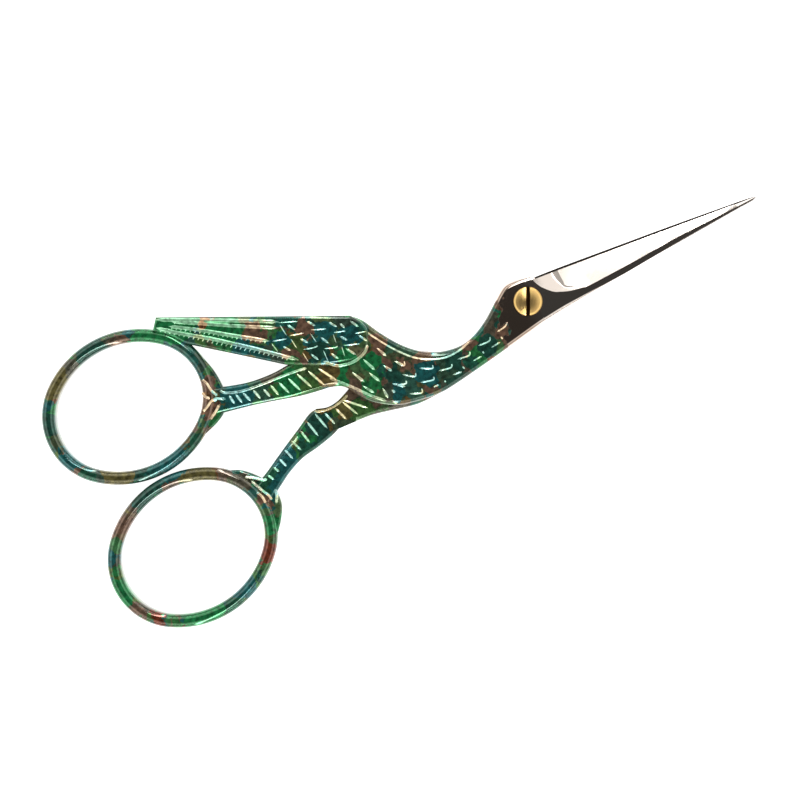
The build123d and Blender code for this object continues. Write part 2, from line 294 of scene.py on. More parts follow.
def pushed(material, place, scale, strength):
    """The place, pushed about by noise, so that borders are ragged."""
    drift = add_node(material, "TexNoise", {"Vector": place, "Scale": scale, "Detail": 3.0}).outputs["Color"]
    centred = add_node(material, "VectorMath", {0: drift, 1: MIDDLE_GREY}, operation="SUBTRACT").outputs[0]
    push = add_node(material, "VectorMath", {0: centred, "Scale": strength}, operation="SCALE").outputs[0]
    return add_node(material, "VectorMath", {0: place, 1: push}, operation="ADD").outputs[0]


def patch_choice(material, place):
    """The number of each patch's tint: at random, and chosen where a patch of the photograph stands out."""
    drifting = pushed(material, place, **CELL_PUSH)
    cells = add_node(material, "TexVoronoi", {"Vector": drifting, "Scale": 1 / PATCH})
    choice = add_node(material, "SeparateColor", {0: cells.outputs["Color"]}).outputs[0]
    ragged = pushed(material, place, **PATCH_PUSH)
    flat = add_node(material, "VectorMath", {0: ragged, 1: (1, 1, 0)}, operation="MULTIPLY").outputs[0]
    for pixel, radius, number in PLACED_PATCHES:
        away = add_node(material, "VectorMath", {0: flat, 1: spot(*pixel)}, operation="DISTANCE")
        inside = add_node(material, "Math", {0: away.outputs["Value"], 1: radius * PIXEL},
                          operation="LESS_THAN").outputs[0]
        choice = add_node(material, "Mix", {0: inside, 2: choice, 3: number}, data_type="FLOAT").outputs[0]
    return choice


def tint_ramp(material, choice, tints):
    ramp = add_node(material, "ValToRGB", {0: choice})
    ramp.color_ramp.interpolation = "LINEAR"
    for code, share in tints[2:]:
        ramp.color_ramp.elements.new(share)
    for element, (code, share) in zip(ramp.color_ramp.elements, tints):
        element.position = share
        element.color = linear(code)
    return ramp.outputs[0]


def bare_share(material, place):
    """0 on the plating and 1 on the bare steel of the head, with a ragged border."""
    along = add_node(material, "SeparateXYZ", {0: pushed(material, place, **BORDER_PUSH)}).outputs["X"]
    return add_node(material, "MapRange", {0: along, 1: PLATING_END[0], 2: PLATING_END[1]},
                    interpolation_type="SMOOTHSTEP").outputs[0]


def head_tint(material, place):
    """The bare steel of the head, whose heat tint ends beside the screw."""
    along = add_node(material, "SeparateXYZ", {0: place}).outputs["X"]
    clean = add_node(material, "MapRange", {0: along, 1: HEAT_TINT_END[0], 2: HEAT_TINT_END[1]},
                     interpolation_type="SMOOTHSTEP").outputs[0]
    mixed = add_node(material, "Mix", {0: clean, 6: linear(HEAD_STEEL), 7: linear(STEEL)}, data_type="RGBA")
    return mixed.outputs[2]


def plated_steel(name, tints, metallic, roughness, coat):
    material = new_material(name)
    place = place_in_mm(material)
    marbled = tint_ramp(material, patch_choice(material, place), tints)
    cloud = add_node(material, "TexNoise", {"Vector": place, "Scale": CLOUD_SCALE, "Detail": CLOUD_DETAIL})
    shade = add_node(material, "MapRange", {0: cloud.outputs[0], **CLOUD_RANGE}).outputs[0]
    mottled = add_node(material, "VectorMath", {0: marbled, "Scale": shade}, operation="SCALE").outputs[0]
    bare = bare_share(material, place)
    head = head_tint(material, place)
    base = add_node(material, "Mix", {0: bare, 6: mottled, 7: head}, data_type="RGBA").outputs[2]
    metal = add_node(material, "MapRange", {0: bare, 3: metallic, 4: 1.0}).outputs[0]
    rough = add_node(material, "MapRange", {0: bare, 3: roughness, 4: STEEL_ROUGHNESS}).outputs[0]
    shader = add_node(material, "BsdfPrincipled", {"Base Color": base, "Metallic": metal, "Roughness": rough,
                      "Coat Weight": coat, "Coat Roughness": GLAZE_ROUGHNESS})
    return set_surface(material, shader)


plating = plated_steel("marbled_plating", TINTS, metallic=0.55, roughness=0.10, coat=1.0)
highlight_plating = plated_steel("painted_highlight_plating", HIGHLIGHT_TINTS, metallic=0.65, roughness=0.20, coat=0.6)

# %% Bare steel and brass
POLISH_SCALE = 900.0           # per metre
POLISH_SPREAD = 0.1            # of the roughness, up and down


def polished_metal(name, code, roughness):
    material = new_material(name)
    place = add_node(material, "TexCoord").outputs["Object"]
    cloud = add_node(material, "TexNoise", {"Vector": place, "Scale": POLISH_SCALE, "Detail": 3.0}).outputs[0]
    rough = add_node(material, "MapRange", {0: cloud, 3: roughness * (1 - POLISH_SPREAD),
                                            4: roughness * (1 + POLISH_SPREAD)}).outputs[0]
    shader = add_node(material, "BsdfPrincipled",
                      {"Base Color": linear(code), "Metallic": 1.0, "Roughness": rough})
    return set_surface(material, shader)


steel = polished_metal("polished_steel", STEEL, STEEL_ROUGHNESS)
brass = polished_metal("turned_brass", BRASS, roughness=0.26)
# Painted shade for the slot's floor.
slot_shade = polished_metal("painted_shade_brass", SLOT_SHADE, roughness=0.5)
print("materials:", [m.name for m in bpy.data.materials])

# %% [markdown]
# Helpers for the pieces. A piece is drawn in a bmesh in millimetres round the pivot, then it is
# scaled to metres, moved to the pivot and hung on its half. Level faces are shaded flat and
# everything else smooth, with a crisp line where two faces meet at more than the crease's angle.

# %% Finishing a piece
TINY = 0.0005
ROUNDING = 6                   # steps of a rounded corner
ROUND = 96                     # steps of a full circle
FLAT = 0.99995                 # upright share of a level face's normal
CREASE = 40


def finish_piece(bm, name, body, material, crease=CREASE):
    bmesh.ops.remove_doubles(bm, verts=bm.verts, dist=TINY)
    bmesh.ops.recalc_face_normals(bm, faces=bm.faces)
    for face in bm.faces:
        face.smooth = abs(face.normal.z) < FLAT
    bmesh.ops.transform(bm, matrix=Matrix.Translation(PIVOT) @ Matrix.Scale(MM, 4), verts=bm.verts)
    mesh = bpy.data.meshes.new(name)
    bm.to_mesh(mesh)
    bm.free()
    mesh.set_sharp_from_angle(angle=math.radians(crease))
    mesh.materials.append(material)
    piece = bpy.data.objects.new(name, mesh)
    bpy.context.scene.collection.objects.link(piece)
    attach(piece, body)
    print(name, len(mesh.polygons), "faces")
    return piece


def smooth_line(points, steps=8):
    """A smooth line through given points."""
    line = [points[0]]
    padded = [points[0], *points, points[-1]]
    for before, here, there, after in zip(padded, padded[1:], padded[2:], padded[3:]):
        pull, push = here + (there - before) / 6, there - (after - here) / 6
        line += interpolate_bezier(here, pull, push, there, steps + 1)[1:]
    return line


# %% [markdown]
# The finger rings are oval wires. A rounded rectangle is spun through four arcs that run into
# each other: two tight ones at the ends and two wide ones along the sides.

# %% Finger rings
HALF = 1.45                    # thickness of one half
RING_A, RING_B = 10.50, 8.76   # half axes of the wire's middle line
WIRE = 1.74
WIRE_CORNER = 0.77
RINGS = {"front": (Vector((-51.66, 9.03, 0)), 1.3),    # middle, tilt
         "back": (Vector((-51.76, -10.60, 0)), 10.9)}
ARC_STEPS = 40


def rounded_section(bm, width, height, corner, segments):
    """A rounded rectangle in the XZ plane."""
    sides = ((-1, -1), (1, -1), (1, 1), (-1, 1))
    corners = [bm.verts.new((x * width / 2, 0, z * height / 2)) for x, z in sides]
    bm.faces.new(corners)
    bmesh.ops.bevel(bm, geom=corners, offset=corner, segments=segments, profile=0.5, material=-1,
                    affect="VERTICES")


def ring(half):
    bm = bmesh.new()
    rounded_section(bm, WIRE, 2 * HALF, WIRE_CORNER, ROUNDING)
    chord = math.hypot(RING_A, RING_B)
    middle = (chord - (RING_A - RING_B)) / 2
    end_radius = middle * chord / RING_A
    reach = RING_A - end_radius
    drop = (RING_A * RING_A - middle * chord) / RING_B
    half_end = math.atan2(drop, reach)
    onto_arc = Matrix.Rotation(-half_end, 4, "Z") @ Matrix.Translation((end_radius, 0, 0))
    bmesh.ops.transform(bm, matrix=Matrix.Translation((reach, 0, 0)) @ onto_arc, verts=bm.verts)
    bmesh.ops.delete(bm, geom=bm.faces, context="FACES_ONLY")
    last = bm.verts[:] + bm.edges[:]
    arcs = [((reach, 0, 0), 2 * half_end), ((0, -drop, 0), math.pi - 2 * half_end),
            ((-reach, 0, 0), 2 * half_end), ((0, drop, 0), math.pi - 2 * half_end)]
    for centre, angle in arcs:
        last = bmesh.ops.spin(bm, geom=last, cent=centre, axis=(0, 0, 1), angle=angle, steps=ARC_STEPS,
                              use_duplicate=False)["geom_last"]
    middle, tilt = RINGS[half]
    bmesh.ops.transform(bm, matrix=Matrix.Translation(middle) @ Matrix.Rotation(math.radians(tilt), 4, "Z"),
                        verts=bm.verts)
    return finish_piece(bm, half + "_ring", half, plating)


def ring_point(half, angle, outward=0.0):
    """A place on a ring's middle line, or outward of it."""
    middle, tilt = RINGS[half]
    on_wire = Vector(((RING_A + outward) * math.cos(math.radians(angle)),
                      (RING_B + outward) * math.sin(math.radians(angle)), 0))
    return Matrix.Rotation(math.radians(tilt), 4, "Z") @ on_wire + middle


front_ring = ring("front")
back_ring = ring("back")

# %% [markdown]
# The head, neck and body are one flat plate with a rounded rim, cut to the outline of the bird.
# The outlines are the same shares of the trunk's length and depth as in the construction. A face
# is drawn on the outline, extruded, and its top rim is rounded with a bevel.

# %% Outlines of the trunk
TRUNK = Vector((28.0, 5.57, 1.0))   # length and depth
CROWN = [(0.075, 0.49), (0.03, 0.535), (-0.015, 0.56), (-0.065, 0.545), (-0.107, 0.42), (-0.205, 0.04),
         (-0.285, -0.18), (-0.363, -0.27), (-0.456, -0.20), (-0.537, 0.005)]
BACK = [(-0.605, 0.325), (-0.665, 0.745), (-0.715, 1.18), (-0.758, 1.40)]
THROAT = [(0.075, -0.565), (0.01, -0.60), (-0.207, -0.81), (-0.42, -1.0), (-0.528, -1.065)]
BELLY = [(-0.628, -1.02), (-0.722, -0.925), (-0.783, -0.765), (-0.839, -0.56), (-0.877, -0.32),
         (-0.906, -0.085), (-0.94, 0.045), (-1.0, 0.13)]
HIP = [(-0.64, 0.24), (-0.75, 0.20), (-0.86, 0.0), (-0.93, -0.16), (-0.98, -0.255), (-1.03, -0.275),
       (-1.08, -0.20)]
THIGH = [(-0.634, -1.085), (-0.706, -1.03), (-0.774, -0.955), (-0.864, -0.87), (-0.96, -0.845),
         (-1.03, -0.83), (-1.08, -0.76)]
RUMP = (-1.01, 0.70)
SHOULDER, SHOULDER_STEPS = 0.6, 7
THIGH_CORNER, THIGH_CORNER_STEPS = 0.55, 5
THIGH_CORNER_END = -26.0       # along the tool, hidden under the leg
COUNTERBORE = 1.97
COUNTERBORE_DEPTH = 0.45


def trunk_line(shares, steps=8):
    """A smooth line through shares of the trunk."""
    return smooth_line([Vector((x * TRUNK.x, y * TRUNK.y, 0)) for x, y in shares], steps)


# %% Plates
def corners_of(geom):
    return [v for v in geom if isinstance(v, bmesh.types.BMVert)]


def is_level(edge, z):
    return all(abs(v.co.z - z) < TINY for v in edge.verts)


def round_edges(bm, edges, offset, steps):
    bmesh.ops.bevel(bm, geom=edges, offset=offset, segments=steps, profile=0.5, material=-1, affect="EDGES",
                    clamp_overlap=False)


def plate(outline, low, high, rim, is_rim):
    """A plate on an outline, with the chosen edges of its face at `high` rounded."""
    bm = bmesh.new()
    bottom = bm.faces.new([bm.verts.new((p.x, p.y, low)) for p in outline])
    grown = bmesh.ops.extrude_face_region(bm, geom=[bottom])["geom"]
    bmesh.ops.translate(bm, vec=(0, 0, high - low), verts=corners_of(grown))
    round_edges(bm, [e for e in bm.edges if is_level(e, high) and is_rim(e)], rim, SHOULDER_STEPS)
    return bm


def close_to(line):
    """Chooses the edges that lie on a line."""
    places = {(round(p.x, 3), round(p.y, 3)) for p in line}
    return lambda edge: all((round(v.co.x, 3), round(v.co.y, 3)) in places for v in edge.verts)


def counterbore(bm):
    """Sinks the round seat of the screw's head into the plate's top."""
    top = max((f for f in bm.faces if f.normal.z > FLAT), key=lambda f: f.calc_area())
    rim = list(top.edges)
    bmesh.ops.delete(bm, geom=[top], context="FACES_ONLY")
    circle = bmesh.ops.create_circle(bm, segments=ROUND, radius=COUNTERBORE,
                                     matrix=Matrix.Translation((0, 0, HALF)))
    edges = list({e for v in circle["verts"] for e in v.link_edges})
    bmesh.ops.triangle_fill(bm, use_beauty=True, edges=rim + edges)
    walls = bmesh.ops.extrude_edge_only(bm, edges=edges)["geom"]
    bmesh.ops.translate(bm, vec=(0, 0, -COUNTERBORE_DEPTH), verts=corners_of(walls))
    bmesh.ops.contextual_create(bm, geom=[e for e in walls if isinstance(e, bmesh.types.BMEdge)])


# %% Trunks of the two halves
def front_trunk():
    upper, lower = trunk_line(CROWN + BACK), trunk_line(THROAT + BELLY)
    rump = trunk_line([RUMP])
    bm = plate(upper + rump + lower[::-1], 0.0, HALF, SHOULDER, close_to(upper + lower))
    counterbore(bm)
    return finish_piece(bm, "stork_body", "front", plating)


def back_trunk():
    upper, lower = trunk_line(CROWN + HIP), trunk_line(THROAT + THIGH)
    bm = plate(upper + lower[::-1], 0.0, -HALF, SHOULDER, close_to(upper + lower))
    on_lower = close_to(lower)
    seen = [e for e in bm.edges if is_level(e, 0) and on_lower(e)]
    seen = [e for e in seen if all(v.co.x > THIGH_CORNER_END for v in e.verts)]
    round_edges(bm, seen, THIGH_CORNER, THIGH_CORNER_STEPS)
    return finish_piece(bm, "stork_thigh", "back", plating)


stork_body = front_trunk()
stork_thigh = back_trunk()
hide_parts("front_half")
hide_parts("back_half")

# %% [markdown]
# The folded wing is a second plate on the body, 0.3 mm proud, whose tip runs into the ring.

# %% Wing
WING_RISE = 0.3
WING_SHOULDER = 0.4
WING_FRONT = [(-1.013, 0.73), (-0.925, 0.557), (-0.825, 0.44), (-0.757, 0.548), (-0.725, 0.736),
              (-0.7125, 0.97), (-0.725, 1.185)]
WING_ROOT = (-1.118, 0.995)
WING_TIP_ANGLES = (51, 43, 35, 26)
WING_TIP_RISE = 1.55
WING_TIP_OVERLAP = 0.3


def wing():
    front = trunk_line(WING_FRONT)
    tip_top = [ring_point("front", WING_TIP_ANGLES[0], WIRE / 2 + WING_TIP_RISE)]
    tip = [ring_point("front", angle, WIRE / 2 - WING_TIP_OVERLAP) for angle in WING_TIP_ANGLES]
    outline = front + trunk_line([BACK[-1]]) + tip_top + tip + trunk_line([WING_ROOT])
    bm = plate(outline, 0.0, HALF + WING_RISE, WING_SHOULDER, lambda edge: True)
    return finish_piece(bm, "folded_wing", "front", plating)


folded_wing = wing()

# %% [markdown]
# Each leg is lofted through rounded sections, from its own half to the middle of its ring. A
# station is the share of the way, the two sides as shares of the width, and how much of the step
# to the ring's middle is done.

# %% Legs
LEG_HEIGHT = 2.3
LEG_CORNER, LEG_CORNER_STEPS = 0.5, 5
LEG_STEPS = 5
LEG_SUNK = 0.04                # below the face of its half, where it starts
STRUT = {"half": "front", "side": 1, "width": 3.4, "start": (-0.98, 0.40), "angle": -31,
         "sides": [(0.0, 0.75, -0.48, 0.0), (0.14, 0.84, -0.50, 0.0), (0.26, 0.76, -0.49, 0.05),
                   (0.42, 0.60, -0.43, 0.3), (0.62, 0.53, -0.37, 0.65), (0.82, 0.61, -0.35, 0.95),
                   (1.0, 0.74, -0.34, 1.0)]}
SHANK = {"half": "back", "side": -1, "width": 3.6, "start": (-1.02, -0.48), "angle": 3,
         "sides": [(0.0, 0.36, -0.46, 0.0), (0.11, 0.63, -0.51, 0.0), (0.30, 0.57, -0.41, 0.1),
                   (0.47, 0.50, -0.27, 0.4), (0.64, 0.42, -0.27, 0.7), (0.79, 0.345, -0.36, 0.95),
                   (1.0, 0.30, -0.50, 1.0)]}


def leg_run(form):
    """Where a leg starts, and its way from there to the ring."""
    start = trunk_line([form["start"]])[0]
    return start, ring_point(form["half"], form["angle"]) - start


def leg_level(form, joggle):
    """Height of a leg's section, and its middle over z = 0."""
    height = HALF - LEG_SUNK + joggle * (LEG_HEIGHT - HALF + LEG_SUNK)
    return height, form["side"] * (1 - joggle) * HALF / 2


def leg_sections(form):
    start, run = leg_run(form)
    across = run.cross(Vector((0, 0, 1))).normalized()
    stations = smooth_line([Vector(s[:3]) for s in form["sides"]], LEG_STEPS)
    joggles = smooth_line([Vector((s[0], s[3], 0)) for s in form["sides"]], LEG_STEPS)
    for (share, upper, lower), (_, joggle, _) in zip(stations, joggles):
        height, lift = leg_level(form, joggle)
        middle = start + run * share + across * (upper + lower) / 2 * form["width"] + Vector((0, 0, lift))
        yield middle, across, run.normalized(), (upper - lower) * form["width"], height


def join_into(bm, part):
    """Adds one bmesh to another and frees it."""
    mesh = bpy.data.meshes.new("part")
    part.to_mesh(mesh)
    part.free()
    bm.from_mesh(mesh)
    bpy.data.meshes.remove(mesh)


def leg(name, form):
    bm = bmesh.new()
    for middle, across, forward, width, height in leg_sections(form):
        section = bmesh.new()
        rounded_section(section, width, height, LEG_CORNER, LEG_CORNER_STEPS)
        turn = Matrix((across, forward, Vector((0, 0, 1)))).transposed().to_4x4()
        bmesh.ops.transform(section, matrix=Matrix.Translation(middle) @ turn, verts=section.verts)
        join_into(bm, section)
    faces = bm.faces[:]
    for first, last in zip(faces, faces[1:]):
        bmesh.ops.bridge_loops(bm, edges=list(first.edges) + list(last.edges))
    bmesh.ops.delete(bm, geom=faces[1:-1], context="FACES_ONLY")
    return finish_piece(bm, name, form["half"], plating)


strut = leg("front_leg", STRUT)
shank = leg("back_leg", SHANK)

# %% [markdown]
# A leaf-shaped collar sits on the outside of each ring, where the leg meets it.

# %% Collars
COLLAR_RISE = 1.45
COLLAR_HEIGHT = 2.1
COLLAR_CORNER = 0.35
STRUT_COLLAR = [(9, 0.0), (-2, 0.25), (-12, 0.55), (-22, 0.9), (-32, 0.9), (-40, 0.55), (-50, 0.0)]
SHANK_COLLAR = [(33, 0.0), (25, 0.4), (13, 0.75), (1, 1.0), (-10, 0.95), (-20, 0.5), (-31, 0.0)]


def collar(name, half, shares):
    """A collar between a ring's wire and its own outline: angles, and shares of its rise."""
    rim = smooth_line([ring_point(half, angle, WIRE / 2 + share * COLLAR_RISE) for angle, share in shares])
    inside = [ring_point(half, angle) for angle, share in reversed(shares)]
    bm = plate(rim + inside, -COLLAR_HEIGHT / 2, COLLAR_HEIGHT / 2, COLLAR_CORNER, close_to(rim))
    return finish_piece(bm, name, half, plating)


strut_collar = collar("front_collar", "front", STRUT_COLLAR)
shank_collar = collar("back_collar", "back", SHANK_COLLAR)

# %% [markdown]
# A blade is a grid that is folded round the blade's section: up the spine, over the flat, down
# the ground bevel to the edge, and back under. The grinding wheel leaves a crescent at the heel,
# and from there the ground surface runs out into the bevel. The columns of the grid follow that
# crescent, so that its line stays crisp. Lines are shares of the blade's length and width.

# %% Lines of the blades
BLADE = Vector((32.1, 4.9, 1.0))   # pivot to tip, and width at the heel
SPINE_CORNER = [(0.03, 0.6), (0.12, 0.6), (0.30, 0.12), (0.40, 0.05), (1.0, 0.04)]   # millimetres of rounding
FRONT_SPINE = [(0.03, -0.665), (0.17, -0.547), (0.284, -0.46), (0.40, -0.395), (0.63, -0.245),
               (0.77, -0.165), (0.86, -0.115), (0.95, -0.065), (0.985, -0.045), (1.0, -0.015)]
FRONT_EDGE = [(0.03, 0.46), (0.17, 0.41), (0.93, 0.035), (0.98, 0.02), (1.0, 0.005)]
BACK_SPINE = [(0.03, -0.52), (0.17, -0.472), (0.40, -0.36), (0.63, -0.245), (0.86, -0.115), (0.97, -0.05),
              (1.0, -0.01)]
BACK_EDGE = [(0.03, 0.53), (0.17, 0.51), (0.70, 0.215), (0.93, 0.085), (0.98, 0.065), (0.995, 0.045),
             (1.0, 0.02)]
RIDGE_HEEL = [(0.03, -0.2), (0.13, -0.24)]
RIDGE_FAR = [(0.55, -0.15), (0.66, -0.10), (0.80, -0.062), (0.87, -0.045), (0.95, -0.02), (1.0, -0.002)]
TAPER = [(0.0, 1.0), (0.22, 1.0), (0.53, 0.74), (0.88, 0.36), (1.0, 0.25)]   # shares of the thickness

# %% Line of the grinding wheel
# Pixels of the photograph, read off it.
WHEEL_TURN = (585.4, 287)      # where the crescent leaves the ridge
RIDGE_PIXELS = [WHEEL_TURN, (595, 282.4), (606, 276.5), (618.9, 269.5), (634.8, 260.9)]
CRESCENT_PIXELS = [WHEEL_TURN, (580, 289), (572.6, 291), (566.1, 291.7), (556, 291.9), (550, 290.6),
                   (541, 286.9), (535.3, 282.6), (532.6, 279.9)]


def on_flat(column, row):
    """A pixel of the photograph as shares of the blade, on the flat, which is nearer to the camera."""
    nearer = 1 - HALF / CAMERA_HEIGHT
    middle = Vector(FRAME_MIDDLE)
    place = spot(*(middle + (Vector((column, row)) - middle) * nearer))
    return place.x / BLADE.x, place.y / BLADE.y


RIDGE = RIDGE_HEEL + [on_flat(*pixel) for pixel in RIDGE_PIXELS] + RIDGE_FAR
CRESCENT = [on_flat(*pixel) for pixel in CRESCENT_PIXELS]


def height_at(shares, x):
    """The second number of a line of shares, at a first number."""
    for first, last in zip(shares, shares[1:]):
        if x <= last[0]:
            return first[1] + (last[1] - first[1]) * max(0, x - first[0]) / (last[0] - first[0])
    return shares[-1][1]


def as_shares(shares):
    """A smooth line through shares, as shares."""
    return [(p.x, p.y) for p in smooth_line([Vector((x, y, 0)) for x, y in shares])]


ridge_shares, taper_shares, crescent_shares = [as_shares(s) for s in (RIDGE, TAPER, CRESCENT)]
print(len(crescent_shares), "places on the crescent")

# %% Ground surface of a blade
RUN_OUT_END = 0.162            # the line where the hollow of the wheel meets the bevel
SHORTEST_RUN_OUT = 0.004
HOLLOW = 0.05                  # how far the run-out sways from a straight slope
HEEL_COLUMNS, RUN_OUT_COLUMNS, BEVEL_COLUMNS, BEVEL_ROWS = 6, 20, 60, 12


def ground(edge, column, v):
    """A place from the ridge (v = 0) to the edge (v = 1), and the share of the bevel that is ground away."""
    def across(x):
        return height_at(ridge_shares, x) + v * (height_at(edge, x) - height_at(ridge_shares, x))

    heel = FRONT_SPINE[0][0]
    at = crescent_shares[round(v * (len(crescent_shares) - 1))]
    end = max(RUN_OUT_END, at[0] + SHORTEST_RUN_OUT)
    if column <= HEEL_COLUMNS:
        x = heel + (at[0] - heel) * column / HEEL_COLUMNS
        return x, across(x) + (at[1] - across(x)) * column / HEEL_COLUMNS, 0.0
    if column <= HEEL_COLUMNS + RUN_OUT_COLUMNS:
        t = (column - HEEL_COLUMNS) / RUN_OUT_COLUMNS
        x = at[0] + (end - at[0]) * t
        y = across(x) if v in (0, 1) else at[1] + (across(end) - at[1]) * t
        return x, y, t + HOLLOW * math.sin(2 * math.pi * t)
    t = (column - HEEL_COLUMNS - RUN_OUT_COLUMNS) / BEVEL_COLUMNS
    x = end + (1 - end) * t
    return x, across(x), 1.0


# %% Blades
EDGE_LAND = 0.12
BLADE_CLEARANCE = 0.01
BLADE_CREASE = 12
CORNER_ANGLES = [math.radians(angle) for angle in range(90, -1, -10)]
ROWS = 1 + len(CORNER_ANGLES) + 2 + BEVEL_ROWS + 2
COLUMNS = HEEL_COLUMNS + RUN_OUT_COLUMNS + BEVEL_COLUMNS + 1
CORNER_LIMITS = (0.6, 0.5)     # shares of the flat and of the thickness that the spine's corner may take


def spine_place(spine, edge, column, row):
    """A place on the underside's spine line, on the rounded spine, or on the flat."""
    x, ridge_y, _ = ground(edge, column, 0.0)
    z = height_at(taper_shares, x) * HALF
    spine_y = height_at(spine, x)
    flat = max(ridge_y - spine_y, 0) * BLADE.y * CORNER_LIMITS[0]
    corner = min(height_at(SPINE_CORNER, x), flat, z * CORNER_LIMITS[1])
    y = spine_y * BLADE.y
    if row == 0 or row == ROWS - 1:
        return x * BLADE.x, y, 0
    if row <= len(CORNER_ANGLES):
        angle = CORNER_ANGLES[row - 1]
        return x * BLADE.x, y + corner * (1 - math.sin(angle)), z - corner * (1 - math.cos(angle))
    return x * BLADE.x, (y + corner + ridge_y * BLADE.y) / 2, z


def bevel_place(edge, column, row):
    """A place on the bevel, or on the underside's edge line."""
    x, y, cut = ground(edge, column, min((row - len(CORNER_ANGLES) - 2) / BEVEL_ROWS, 1.0))
    if row == ROWS - 2:
        return x * BLADE.x, y * BLADE.y, 0
    z = height_at(taper_shares, x) * HALF
    ridge_y, edge_y = height_at(ridge_shares, x), height_at(edge, x)
    share = min(max((y - ridge_y) / (edge_y - ridge_y), 0), 1) if edge_y > ridge_y else 1
    return x * BLADE.x, y * BLADE.y, z - cut * share * (z - EDGE_LAND)


def blade(name, half, spine, edge):
    spine = as_shares(spine)
    bm = bmesh.new()
    bmesh.ops.create_grid(bm, x_segments=COLUMNS - 1, y_segments=ROWS - 1, size=0.5)
    for vert in bm.verts:
        column, row = round((vert.co.x + 0.5) * (COLUMNS - 1)), round((vert.co.y + 0.5) * (ROWS - 1))
        on_spine = row <= len(CORNER_ANGLES) + 1 or row == ROWS - 1
        vert.co = spine_place(spine, edge, column, row) if on_spine else bevel_place(edge, column, row)
    bmesh.ops.remove_doubles(bm, verts=bm.verts, dist=TINY)
    bmesh.ops.holes_fill(bm, edges=bm.edges, sides=0)
    if half == "back":
        bmesh.ops.rotate(bm, cent=(0, 0, 0), matrix=Matrix.Rotation(math.pi, 3, "X"), verts=bm.verts)
        bmesh.ops.translate(bm, vec=(0, 0, -BLADE_CLEARANCE), verts=bm.verts)
    return finish_piece(bm, name, half, steel, crease=BLADE_CREASE)


front_blade = blade("front_blade", "front", FRONT_SPINE, FRONT_EDGE)
back_blade = blade("back_blade", "back", BACK_SPINE, BACK_EDGE)

# %% [markdown]
# The brass screw: a turned head, slightly domed, with a slot. The head is spun from its profile
# and cut at the slot's wall, and the other side of the slot is the same piece turned round. A
# disc under both is the slot's floor, its brass painted nearly black as the shade in the slot.

# %% Pivot screw
HEAD_RADIUS = 1.85
HEAD_LOW, SLOT_FLOOR, HEAD_TOP = 1.02, 1.32, 1.82
DOME = 0.28
DOME_RADII = (0.0, 0.3, 0.6, 0.9, 1.2, 1.5, 1.7)
HEAD_EDGE = ((1.79, 0.01), (1.84, 0.06), (HEAD_RADIUS, 0.13))   # radius, and depth below the dome's foot
SLOT_WIDTH = 0.5
SLOT_ANGLE = 65.3


def head_profile(low):
    """Half a section of the head, from its axis to its rim and down to a low edge."""
    dome = [(radius, HEAD_TOP - DOME * (radius / HEAD_RADIUS) ** 2) for radius in DOME_RADII]
    return dome + [(radius, HEAD_TOP - DOME - depth) for radius, depth in HEAD_EDGE] + [(HEAD_RADIUS, low)]


def spun(bm, profile):
    verts = [bm.verts.new((radius, 0, z)) for radius, z in profile]
    edges = [bm.edges.new(pair) for pair in zip(verts, verts[1:])]
    bmesh.ops.spin(bm, geom=verts + edges, cent=(0, 0, 0), axis=(0, 0, 1), angle=2 * math.pi, steps=ROUND,
                   use_merge=True, use_duplicate=False)
    bmesh.ops.remove_doubles(bm, verts=bm.verts, dist=TINY)


def turned(bm, angle):
    bmesh.ops.rotate(bm, cent=(0, 0, 0), matrix=Matrix.Rotation(angle, 3, "Z"), verts=bm.verts)


def pivot_screw():
    bm = bmesh.new()
    for turn in (0, math.pi):
        side = bmesh.new()
        spun(side, head_profile(SLOT_FLOOR))
        cut = bmesh.ops.bisect_plane(side, geom=side.verts[:] + side.edges[:] + side.faces[:], dist=TINY,
                                     plane_co=(0, SLOT_WIDTH / 2, 0), plane_no=(0, -1, 0), clear_outer=True)
        lips = [e for e in cut["geom_cut"] if isinstance(e, bmesh.types.BMEdge)]
        low = [v for v in side.verts if abs(v.co.z - SLOT_FLOOR) < TINY]
        ends = [v for v in low if abs(v.co.y - SLOT_WIDTH / 2) < TINY]
        bmesh.ops.contextual_create(side, geom=lips + [side.edges.new(ends)])
        turned(side, turn)
        join_into(bm, side)
    turned(bm, math.radians(SLOT_ANGLE))
    return finish_piece(bm, "screw_head", "back", brass)


def slot_floor():
    """The lower part of the head, painted dark as the shade where the slot opens on it."""
    bm = bmesh.new()
    spun(bm, [(0.0, SLOT_FLOOR), (HEAD_RADIUS, SLOT_FLOOR), (HEAD_RADIUS, HEAD_LOW), (0.0, HEAD_LOW)])
    return finish_piece(bm, "screw_slot", "back", slot_shade)


screw_head = pivot_screw()
screw_slot = slot_floor()
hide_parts("pivot_screw")

# %% [markdown]
# The stamped relief of the stork: every tick, rib and line stands up from the forging as a low
# ridge with a rounded top. `ridge_line` folds a small grid round a path and closes it to a point
# at both ends. The paths were read from the photograph, a pixel for each place, and the
# widths and heights are in millimetres.

# %% Ridges
AROUND = 8
ROUND_END = 0.6
STRAIGHT_STEPS = 5


